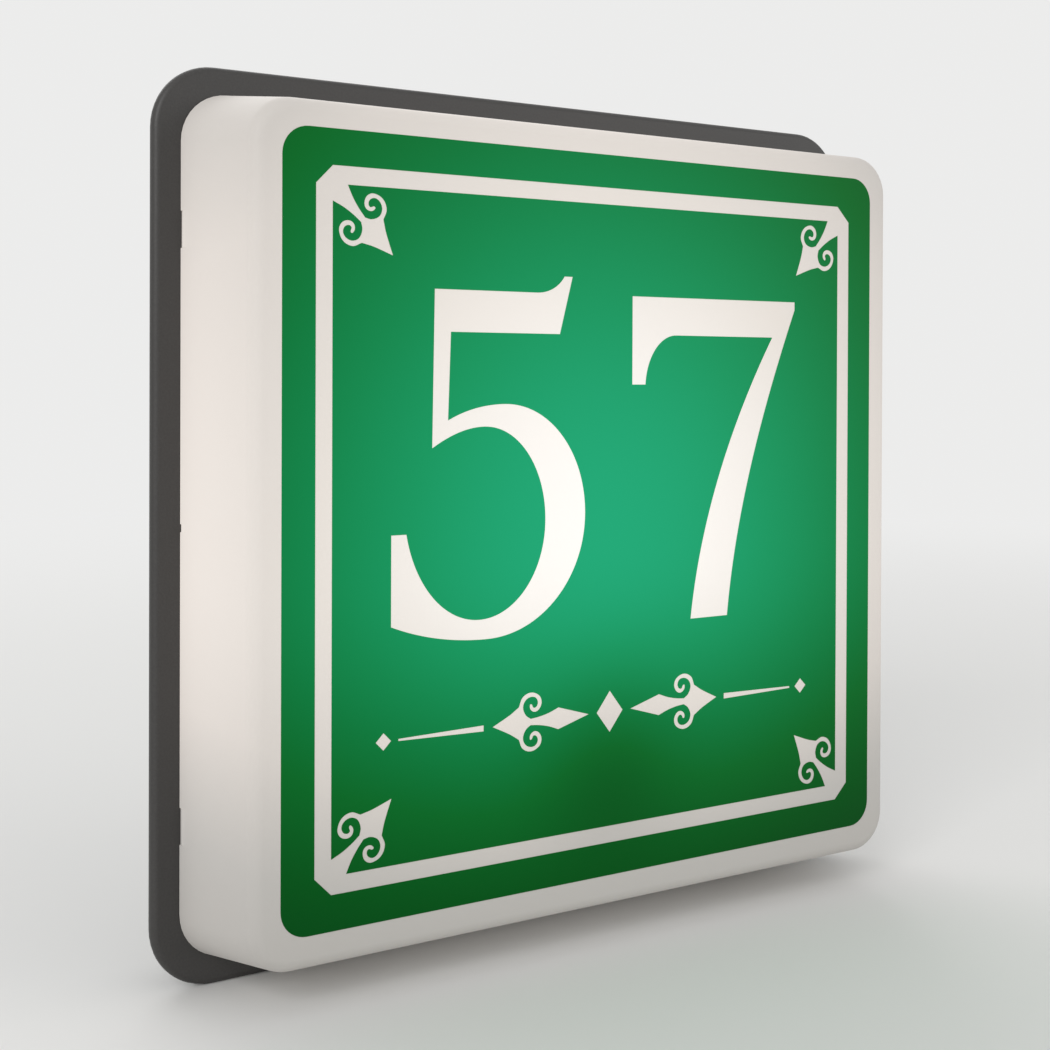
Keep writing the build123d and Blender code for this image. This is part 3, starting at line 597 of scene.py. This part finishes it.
# corner scroll, from the frame line's inner corner: millimetres along the line and in from it.
# This half runs from the line down the stem, round the scroll and back, to the spear's tip.
scroll_half = [
    (5.25, 0.0), (7.1, 3.9, True), (9.3, 7.3, True), (11.4, 9.9), (13.7, 10.3, True),
    (16.3, 9.3, True), (17.35, 7.2, True), (16.8, 5.0, True), (15.1, 3.65, True),
    (13.3, 4.0, True), (12.55, 5.4, True), (13.2, 6.5, True), (14.5, 6.2, True),
    (15.0, 6.8, True), (13.6, 7.75, True), (11.7, 7.1, True), (11.05, 5.1, True),
    (12.1, 2.9, True), (14.5, 2.15, True), (17.7, 3.7, True), (19.05, 7.0, True),
    (17.9, 10.2), (18.9, 14.4, True), (21.4, 21.4),
]
scroll = scroll_half + [(knot[1], knot[0], *knot[2:]) for knot in scroll_half[-2::-1]]
panel_edge = []
for corner in range(4):
    turned = Matrix.Rotation(corner * math.pi / 2, 2)
    for u, v, *way in scroll:
        place = turned @ Vector((panel_half - v * MM, panel_half - u * MM))
        panel_edge.append((*place, *way))
panel_edge.reverse()

# numerals, drawn with a broad pen: millimetres from the middle of the face
five = [
    (-71.0, 76.4), (-31.0, 76.4, 0), (-19.8, 82.2, 58, None), (-16.4, 82.2), (-21.6, 62.6),
    (-64.8, 62.6), (-65.8, 33.8, None, 27), (-43.5, 39.0, 0), (-10.8, 1.5, -90),
    (-50.5, -38.6, 180), (-86.8, -31.8, 158, None), (-86.8, -2.6), (-81.2, -2.6, None, -80),
    (-53.5, -32.0, 0), (-27.4, 0.0, 90), (-51.5, 31.6, 180), (-71.8, 24.8, 212, None),
]
seven = [
    (9.3, 76.4), (85.8, 76.4), (85.8, 73.4, None, -113), (53.2, -38.6, -96, None),
    (36.0, -38.6, None, 83), (74.6, 63.0, 58, None), (29.0, 63.0, 180), (15.2, 45.5, -93, None),
    (9.3, 45.5),
]

# tailpiece under them, in millimetres: the corners' spear and scrolls, twice, growing outwards from
# a lozenge on long stems, and beyond each spear's tip a tapered rule that ends in a small lozenge
tail_level = -68.0
stem_start = 9.0
stem_length = 9.0
rule_gap = 3.5
half_turn = math.sqrt(0.5)
spear_start = stem_start + stem_length
spear = [(spear_start + (u + v) * half_turn, (v - u) * half_turn, *way) for u, v, *way in scroll]
spear = [(stem_start, 0.0)] + spear
rule_start = spear_start + 2 * scroll_half[-1][0] * half_turn + rule_gap
rule = [(rule_start, 1.0), (84.0, 0.35), (84.0, -0.35), (rule_start, -1.0)]
end_lozenge = [(86.6, 0.0), (89.4, 2.8), (92.2, 0.0), (89.4, -2.8)]
lozenge = [(0.0, 7.2), (5.6, 0.0), (0.0, -7.2), (-5.6, 0.0)]
sided = [spear, rule, end_lozenge]
tailpiece = [lozenge] + sided + [[(-x, z, *way) for x, z, *way in part] for part in sided]
tailpiece = [[(x, z + tail_level, *way) for x, z, *way in part] for part in tailpiece]
cut_outs = [
    [(x * MM, z * MM, *way) for x, z, *way in part] for part in (five, seven, *tailpiece)
]
cut_film("film_panel_cut", [panel_edge, *cut_outs], vinyl_finish, "film_panel")


# Wall tray: one moulding in dark grey plastic with a fine spark-eroded grain, screwed to the wall.
# Its flange is the dark edge that is seen all round the cover.
def grained_finish(name, colour, roughness, cells, depth, low, high, detail=3.0, **sockets):
    """A finish whose colour follows its grain. Low and high are each a level of the grain's noise,
    from 0 to 1, and the colour there. Gives the material."""
    material, tree, shader = new_finish(name, colour, roughness, **sockets)
    noise = add_grain(tree, shader, cells, depth, detail)
    tree.links.new(add_ramp(tree, noise, low, high), shader.inputs["Base Color"])
    return material


def carried(node, material):
    """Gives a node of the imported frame, which stays in view as it is, a material."""
    nodes[node].data.materials.clear()
    nodes[node].data.materials.append(material)


tray_finish = grained_finish(
    "dark_grey_moulding", colour=(0.036, 0.034, 0.032), roughness=0.48,
    cells=1400.0, depth=0.03 * MM,
    low=(0.3, (0.031, 0.029, 0.028)), high=(0.7, (0.041, 0.039, 0.037)),
)
carried("base_tray", tray_finish)

# Foam seals: the ring between tray and wall and the flat ring under the cover's rim, cut from
# closed-cell sheet and pressed into their grooves. Cut through, the cells show as fine pits.
cells_per_metre = 1800.0
pit_depth = 0.15 * MM
foam_finish, tree, shader = new_finish(
    "closed_cell_foam", colour=(0.030, 0.030, 0.032), roughness=0.9
)
cells = add_node(tree, "TexVoronoi", {"Vector": object_place(tree), "Scale": cells_per_metre})
pits = cells.outputs["Distance"]
bump = add_node(tree, "Bump", {"Height": pits, "Distance": pit_depth})
tree.links.new(bump.outputs["Normal"], shader.inputs["Normal"])
shades = add_ramp(tree, pits, (0.0, (0.045, 0.045, 0.048)), (0.8, (0.018, 0.018, 0.020)))
tree.links.new(shades, shader.inputs["Base Color"])
carried("wall_gasket", foam_finish)
carried("cover_seal", foam_finish)

# Rubber pieces, moulded in black: the washers that seal the wall screws' slots, the grommet in the
# tray's cable entry and the small one where the LED leads pass through the gear plate.
rubber_finish = grained_finish(
    "black_rubber", colour=(0.035, 0.035, 0.038), roughness=0.62,
    cells=2200.0, depth=0.02 * MM,
    low=(0.35, (0.030, 0.030, 0.033)), high=(0.75, (0.050, 0.050, 0.054)),
    Specular_IOR_Level=0.35,
)
for node in ("fixing_washers", "cable_grommet", "plate_grommet"):
    carried(node, rubber_finish)

# Cover clips: bent from bright spring steel strip and pushed over the tray's collar. The strip's
# rolling direction shows as fine lines, which are long along the clip's Y and thin across.
lines_per_metre = (9000.0, 300.0, 9000.0)
smoothest = 0.22
roughest = 0.42
steel_finish, tree, shader = new_finish(
    "spring_steel", colour=(0.60, 0.60, 0.58), roughness=0.3, Metallic=1.0
)
drawn = add_node(tree, "Mapping", {"Vector": object_place(tree), "Scale": lines_per_metre})
rolled = add_node(tree, "TexNoise", {"Vector": drawn.outputs["Vector"], "Scale": 1.0})
lines = rolled.outputs["Fac"]
worn = add_node(tree, "MapRange", {"Value": lines, "To Min": smoothest, "To Max": roughest})
tree.links.new(worn.outputs["Result"], shader.inputs["Roughness"])
shades = add_ramp(tree, lines, (0.2, (0.52, 0.52, 0.50)), (0.8, (0.68, 0.68, 0.66)))
tree.links.new(shades, shader.inputs["Base Color"])
carried("cover_clips", steel_finish)

# Terminal block: moulded in natural polyamide round two brass sleeves, in which zinc-plated screws
# clamp the wires. The screws that fix the block and the driver have the same plating.
block_finish = grained_finish(
    "natural_polyamide", colour=(0.80, 0.79, 0.74), roughness=0.4,
    cells=500.0, depth=0.02 * MM,
    low=(0.3, (0.76, 0.745, 0.69)), high=(0.7, (0.82, 0.81, 0.77)),
)
carried("terminal_block", block_finish)
brass_finish = grained_finish(
    "turned_brass", colour=(0.70, 0.52, 0.24), roughness=0.28,
    cells=3000.0, depth=0.01 * MM,
    low=(0.3, (0.60, 0.42, 0.18)), high=(0.7, (0.76, 0.58, 0.28)), Metallic=1.0,
)
carried("terminal_sleeves", brass_finish)
zinc_finish = grained_finish(
    "zinc_plate", colour=(0.66, 0.67, 0.68), roughness=0.34,
    cells=1500.0, depth=0.01 * MM,
    low=(0.3, (0.58, 0.59, 0.60)), high=(0.7, (0.74, 0.75, 0.76)), Metallic=1.0,
)
for node in ("terminal_screws", "terminal_block_screws", "driver_screws"):
    carried(node, zinc_finish)

# Driver: a plain white case and lid, moulded with a fine grain, round a green circuit board whose
# lacquer is darker over the bare laminate than over the copper.
case_finish = grained_finish(
    "driver_case_plastic", colour=(0.80, 0.80, 0.78), roughness=0.5,
    cells=1600.0, depth=0.03 * MM,
    low=(0.3, (0.77, 0.77, 0.75)), high=(0.7, (0.83, 0.83, 0.81)),
)
carried("driver_case", case_finish)
carried("driver_lid", case_finish)
circuit_finish = grained_finish(
    "lacquered_circuit", colour=(0.06, 0.26, 0.12), roughness=0.3,
    cells=700.0, depth=0.02 * MM,
    low=(0.42, (0.04, 0.20, 0.09)), high=(0.5, (0.08, 0.32, 0.15)),
)
carried("driver_board", circuit_finish)

# Wires: live and neutral from the terminal block to the driver, and the two leads from there to the
# LED board, in glossy coloured insulation with a faint waviness from the extruder.
for node, name, colour in (
    ("live_wire", "brown_insulation", (0.17, 0.06, 0.025)),
    ("neutral_wire", "blue_insulation", (0.03, 0.12, 0.42)),
    ("led_lead_red", "red_insulation", (0.52, 0.03, 0.02)),
    ("led_lead_black", "black_insulation", (0.028, 0.028, 0.030)),
):
    darker = tuple(0.8 * part for part in colour)
    insulation = grained_finish(
        name, colour, roughness=0.35, cells=350.0, depth=0.03 * MM,
        low=(0.3, darker), high=(0.7, colour),
    )
    carried(node, insulation)

# Gear plate: sheet steel pressed to a shallow tray and stove-enamelled white, so that it reflects
# the light forwards. It stands on the tray's four bosses and carries the LED board.
enamel_finish = grained_finish(
    "white_enamel", colour=(0.86, 0.86, 0.84), roughness=0.3,
    cells=220.0, depth=0.05 * MM, detail=1.0,
    low=(0.3, (0.84, 0.84, 0.82)), high=(0.7, (0.88, 0.88, 0.86)), Coat_Weight=0.25,
)
carried("gear_plate", enamel_finish)


# Screws that show once the cover is off, four in the gear plate and three in the LED board: headed
# and rolled from wire, with a pan head and a cross recess, zinc plated.
def cross_screws(name, node, centres, seat, head_radius, rise, length, shank_radius):
    """A turned screw at each centre, its head's underside at the seat. The head's height over a
    point is the edge share of the rise, plus the rest of the rise times the square root of one less
    the squared share of the radius there. It is less by the recess's depth where the point is
    within the recess's reach and one of its two offsets from the axis is under the recess's half
    width. Below the head the shank goes straight down and ends in a blunt cone."""
    edge_share = 0.45
    recess_reach = 0.62
    recess_half = 0.13 * head_radius
    recess_depth = 0.6 * rise
    point_share = 0.5
    ring_step = 0.04
    inner_count, outer_count, turn_count = 14, 8, 72
    inner_rings = np.linspace(ring_step, recess_reach, inner_count)
    outer_rings = np.linspace(recess_reach + ring_step, 1.0, outer_count)
    turns = np.linspace(0, 2 * np.pi, turn_count, endpoint=False)
    share, turn = np.meshgrid(np.concatenate([inner_rings, outer_rings]), turns, indexing="ij")
    x = head_radius * share * np.cos(turn)
    z = head_radius * share * np.sin(turn)
    dome = rise * (edge_share + (1 - edge_share) * np.sqrt(np.maximum(0.0, 1 - share**2)))
    slot = (np.minimum(np.abs(x), np.abs(z)) < recess_half) & (share < recess_reach)
    dome = np.where(slot, dome - recess_depth, dome)
    rows = [np.stack([x, dome, z], axis=-1)]
    for radius, height in (
        (head_radius, 0.0), (shank_radius, 0.0), (shank_radius, shank_radius - length),
        (point_share * shank_radius, -length),
    ):
        ring = [radius * np.cos(turns), np.full_like(turns, height), radius * np.sin(turns)]
        rows.append(np.stack(ring, axis=-1)[None])
    screw = np.concatenate(rows)
    row_count, around = screw.shape[:2]
    quads = row_faces(row_count, around)
    end = np.arange(around)
    across, up, along = screw.reshape(-1, 3).T
    corners = []
    faces = []
    for middle_x, middle_z in centres:
        first = len(across) * len(corners)
        corners.append(np.stack([across + middle_x, -(seat + up), along + middle_z], axis=1))
        faces += (quads + first).tolist()
        faces += [(end + first).tolist(), (end + first + (row_count - 1) * around)[::-1].tolist()]
    piece = new_piece(name, np.concatenate(corners), faces, zinc_finish, "tray")
    smooth(piece, degrees=40)
    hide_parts(node)


plate_head_radius = 3.6 * MM
plate_seat = -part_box("led_board")[1].y
boss_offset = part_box("plate_screws")[1].x - plate_head_radius
cross_screws(
    "plate_screws_cross", "plate_screws",
    [(x * boss_offset, z * boss_offset) for x in (-1, 1) for z in (-1, 1)], plate_seat,
    head_radius=plate_head_radius, rise=2.4 * MM, length=12.0 * MM, shank_radius=1.75 * MM,
)
board_top = -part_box("led_board")[0].y
board_screw_ring = 68.0 * MM
board_screw_angles = np.radians([90, 210, 330])
cross_screws(
    "board_screws_cross", "board_screws",
    board_screw_ring * np.stack([np.cos(board_screw_angles), np.sin(board_screw_angles)], axis=1),
    board_top, head_radius=2.9 * MM, rise=1.9 * MM, length=4.0 * MM, shank_radius=1.45 * MM,
)

# LED board: a round aluminium core under a white solder mask, screwed to the gear plate. The copper
# of its two rings of chips shows through the mask as faint raised tracks.
ring_tracks = (32.0 * MM, 57.0 * MM)
track_half = 1.4 * MM
track_edge = 1.2 * track_half
track_height = 0.1 * MM
mask_finish, tree, shader = new_finish(
    "white_solder_mask", colour=(0.84, 0.84, 0.81), roughness=0.35
)
place = add_node(tree, "SeparateXYZ", {0: object_place(tree)}).outputs
flat_place = add_node(tree, "CombineXYZ", {"X": place["X"], "Y": place["Z"]}).outputs[0]
radius = add_node(tree, "VectorMath", {0: flat_place}, operation="LENGTH").outputs["Value"]
tracks = 0.0
for ring_radius in ring_tracks:
    near = add_math(tree, "ABSOLUTE", add_math(tree, "SUBTRACT", radius, ring_radius))
    limits = {"From Min": track_half, "From Max": track_edge, "To Min": 1.0, "To Max": 0.0}
    on_track = add_node(tree, "MapRange", {"Value": near, **limits}).outputs["Result"]
    tracks = add_math(tree, "MAXIMUM", tracks, on_track)
bump = add_node(tree, "Bump", {"Height": tracks, "Distance": track_height})
tree.links.new(bump.outputs["Normal"], shader.inputs["Normal"])
shades = add_ramp(tree, tracks, (0.0, (0.84, 0.84, 0.81)), (1.0, (0.76, 0.74, 0.66)))
tree.links.new(shades, shader.inputs["Base Color"])
carried("led_board", mask_finish)

# LED chips and lenses: square packages with a yellow phosphor face, lit, each under a clear moulded
# dome that spreads its light; the dome's faint glow is painted, by a weak emission of the LEDs'
# colour.
warm_light = (1.0, 0.93, 0.78, 1.0)
phosphor_finish = grained_finish(
    "lit_phosphor", colour=(0.85, 0.72, 0.25), roughness=0.4,
    cells=2500.0, depth=0.02 * MM,
    low=(0.3, (0.80, 0.64, 0.18)), high=(0.7, (0.90, 0.78, 0.30)),
    Emission_Color=warm_light, Emission_Strength=2.0,
)
carried("led_chips", phosphor_finish)
# the lens's weak emission is a painted glow of the LEDs under it
lens_finish, tree, shader = new_finish(
    "clear_lens", colour=(0.95, 0.96, 0.96), roughness=0.04, Transmission_Weight=0.75, IOR=1.49,
    Emission_Color=warm_light, Emission_Strength=0.09,
)
add_grain(tree, shader, cells=400.0, depth=0.01 * MM)
carried("led_lenses", lens_finish)

# LED connector: moulded in cream nylon and soldered to the LED board beside its middle hole, where
# the two leads from the driver plug into it.
connector_finish = grained_finish(
    "connector_nylon", colour=(0.82, 0.80, 0.74), roughness=0.42,
    cells=1200.0, depth=0.02 * MM,
    low=(0.3, (0.78, 0.76, 0.69)), high=(0.7, (0.85, 0.83, 0.78)),
)
carried("led_connector", connector_finish)
